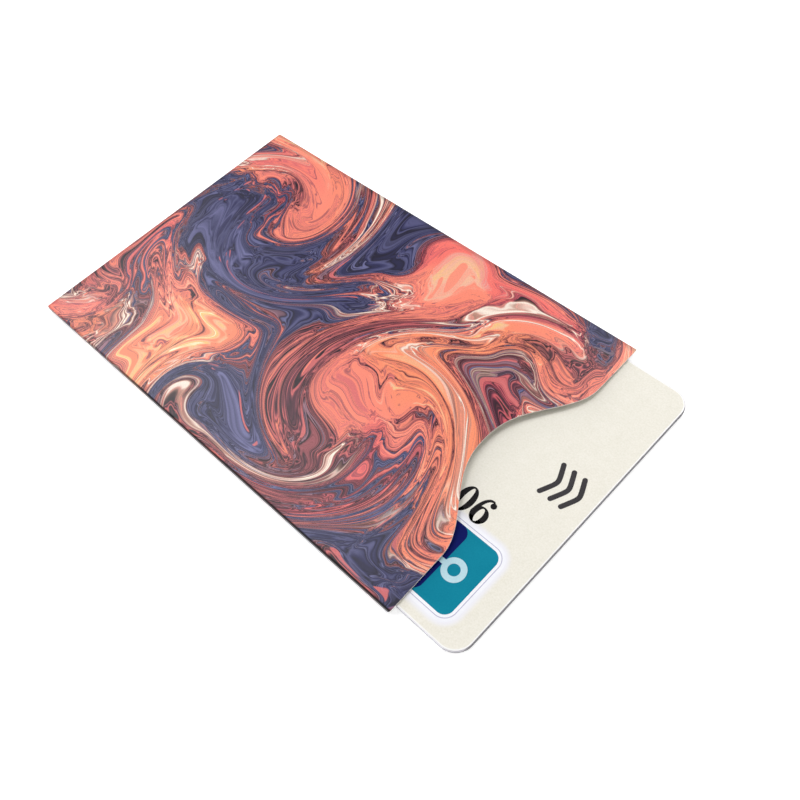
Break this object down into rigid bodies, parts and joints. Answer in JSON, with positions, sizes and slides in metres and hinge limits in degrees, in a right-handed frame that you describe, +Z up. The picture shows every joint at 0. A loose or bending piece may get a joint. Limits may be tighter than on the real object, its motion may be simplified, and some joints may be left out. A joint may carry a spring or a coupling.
{
  "type": "key card envelope",
  "caption": "Flat folded paper envelope with a wave-shaped thumb notch at its open end, holding a plastic key card that slides out lengthways.",
  "frame": {"origin": "centre of the envelope's underside, on its back panel", "axes": "+X along the length to the open mouth, the way the card is pulled out; +Y across the width to the glued side; +Z up through the printed front"},
  "size_m": [0.0986, 0.0576, 0.0022],
  "materials": {
    "printed_paper": "satin",
    "foil": "satin",
    "liner_paper": "matte",
    "seam_glue": "satin",
    "card_film": "satin",
    "card_core": "matte",
    "inlay_film": "matte",
    "antenna_copper": "satin",
    "chip_resin": "satin"
  },
  "bodies": {
    "sleeve": {"front_panel": "printed_paper", "front_foil": "foil", "front_liner": "liner_paper", "back_panel": "printed_paper", "back_foil": "foil", "back_liner": "liner_paper", "spine_fold": "printed_paper", "side_fold": "printed_paper", "end_fold": "printed_paper", "side_flap": "liner_paper", "end_flap": "liner_paper", "side_seam_glue": "seam_glue", "end_seam_glue": "seam_glue"},
    "card": {"card_front_overlay": "card_film", "card_front_core": "card_core", "card_inlay_sheet": "inlay_film", "card_antenna_coil": "antenna_copper", "card_antenna_bridge": "antenna_copper", "card_chip_module": "chip_resin", "card_back_core": "card_core", "card_back_overlay": "card_film"}
  },
  "joints": [
    {"name": "card_slide", "type": "slide", "parent": "sleeve", "child": "card", "axis": [1, 0, 0], "range_m": [-0.01176, 0.0773]}
  ]
}
